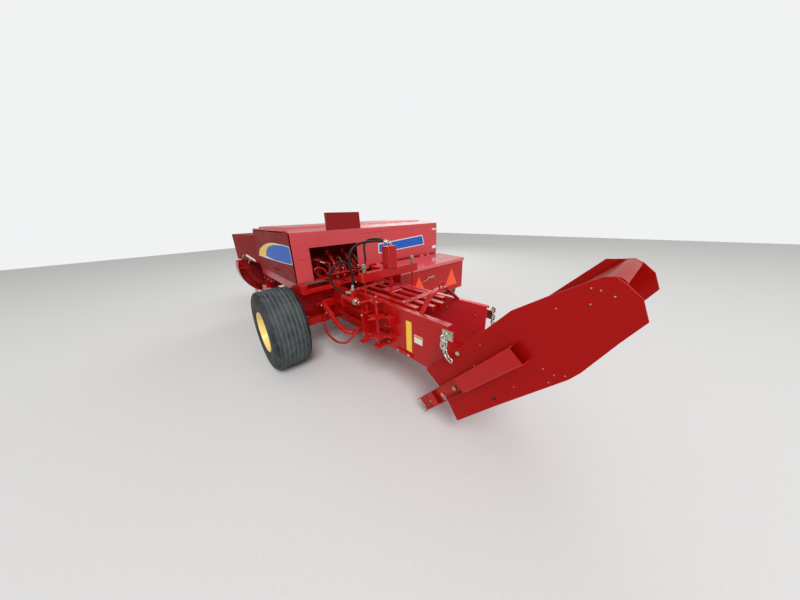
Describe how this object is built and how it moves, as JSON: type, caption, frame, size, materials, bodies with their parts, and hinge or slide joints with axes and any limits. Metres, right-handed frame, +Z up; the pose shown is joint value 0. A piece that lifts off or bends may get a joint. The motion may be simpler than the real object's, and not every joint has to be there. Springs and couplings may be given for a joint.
{
  "type": "small square baler",
  "caption": "Towed small square baler: bale case with knotters and hood, twine box, pickup, chute raised on chains, tongue with jack.",
  "frame": {"origin": "on the ground under the middle of the whole machine's plan", "axes": "+X to the machine's right, +Y forward to the hitch, +Z up"},
  "size_m": [2.819, 5.7576, 1.482],
  "materials": {
    "red_enamel": "gloss",
    "dark_red_enamel": "satin",
    "cast_red": "satin",
    "zinc": "satin",
    "black_rubber": "matte",
    "tyre_rubber": "matte",
    "yellow_enamel": "gloss",
    "reflector": "gloss",
    "black_plastic": "matte"
  },
  "bodies": {
    "chassis": {"case_left_wall": "red_enamel", "case_right_wall": "red_enamel", "case_floor": "red_enamel", "case_front_plate": "red_enamel", "case_frame": "red_enamel", "density_rails": "red_enamel", "density_beam": "red_enamel", "density_cylinder": "red_enamel", "density_studs": "zinc", "hay_arch": "red_enamel", "knotter_table": "red_enamel", "knotters": "cast_red", "knotter_shaft": "cast_red", "hood_frame": "dark_red_enamel", "hood_deck": "red_enamel", "hood_rear_panel": "red_enamel", "hood_front_panel": "red_enamel", "hood_right_panel": "red_enamel", "hood_upright": "red_enamel", "front_shield": "red_enamel", "flywheel_guard": "red_enamel", "gearbox": "cast_red", "feeder_floor": "red_enamel", "feeder_walls": "red_enamel", "twine_box": "red_enamel", "reflectors": "reflector", "axle": "red_enamel", "side_mechanism": "red_enamel", "needle_yoke": "red_enamel", "needle_guard": "red_enamel", "hydraulic_hoses": "black_rubber", "chain_brackets": "zinc", "chains": "zinc", "tongue_bracket": "red_enamel"},
    "left_wheel": {"left_tyre": "tyre_rubber", "left_rim": "yellow_enamel"},
    "right_wheel": {"right_tyre": "tyre_rubber", "right_rim": "yellow_enamel"},
    "left_door": {"left_shield": "red_enamel"},
    "box_lid": {"twine_box_lid": "red_enamel"},
    "fly": {"flywheel": "cast_red"},
    "counter": {"metering_star": "red_enamel"},
    "bale_chute": {"chute": "red_enamel", "chute_arms": "red_enamel", "chain_studs": "zinc"},
    "pickup": {"pickup_frame": "red_enamel", "stripper_bands": "red_enamel", "wind_guard": "dark_red_enamel"},
    "reel": {"pickup_reel": "dark_red_enamel"},
    "gauge": {"gauge_wheel": "black_rubber"},
    "drawbar": {"tongue": "red_enamel", "hitch": "cast_red", "driveline": "black_plastic", "jack_tube": "zinc"},
    "jack": {"jack_leg": "zinc"}
  },
  "joints": [
    {"name": "left_wheel_spin", "type": "hinge", "parent": "chassis", "child": "left_wheel", "pos_m": [-1.2365, -0.40421, 0.4], "axis": [1, 0, 0], "continuous": true},
    {"name": "right_wheel_spin", "type": "hinge", "parent": "chassis", "child": "right_wheel", "pos_m": [1.1695, -0.40421, 0.345], "axis": [1, 0, 0], "continuous": true},
    {"name": "left_shield_swing", "type": "hinge", "parent": "chassis", "child": "left_door", "pos_m": [-1.0515, 0.11879, 1.33], "axis": [0, 1, 0], "range_deg": [0, 75]},
    {"name": "lid_swing", "type": "hinge", "parent": "chassis", "child": "box_lid", "pos_m": [0.3495, -0.57021, 0.896], "axis": [-1, 0, 0], "range_deg": [0, 75]},
    {"name": "flywheel_spin", "type": "hinge", "parent": "chassis", "child": "fly", "pos_m": [-0.8305, 1.37879, 0.76], "axis": [0, 1, 0], "continuous": true},
    {"name": "counter_spin", "type": "hinge", "parent": "chassis", "child": "counter", "pos_m": [-0.7705, -1.45121, 0.6], "axis": [0, 0, 1], "continuous": true},
    {"name": "chute_fold", "type": "hinge", "parent": "chassis", "child": "bale_chute", "pos_m": [-0.4705, -1.98621, 0.424], "axis": [-1, 0, 0], "range_deg": [-20, 15]},
    {"name": "pickup_lift", "type": "hinge", "parent": "chassis", "child": "pickup", "pos_m": [0.5625, 0.29879, 0.38], "axis": [1, 0, 0], "range_deg": [-4, 16]},
    {"name": "reel_spin", "type": "hinge", "parent": "pickup", "child": "reel", "pos_m": [0.5625, 0.64879, 0.43], "axis": [1, 0, 0], "continuous": true},
    {"name": "gauge_wheel_spin", "type": "hinge", "parent": "pickup", "child": "gauge", "pos_m": [1.3625, 0.51879, 0.16], "axis": [1, 0, 0], "continuous": true},
    {"name": "tongue_swing", "type": "hinge", "parent": "chassis", "child": "drawbar", "pos_m": [-0.8305, 0.99879, 0.34], "axis": [0, 0, 1], "range_deg": [-24, 4]},
    {"name": "jack_slide", "type": "slide", "parent": "drawbar", "child": "jack", "axis": [0, 0, 1], "range_m": [0, 0.22]}
  ]
}
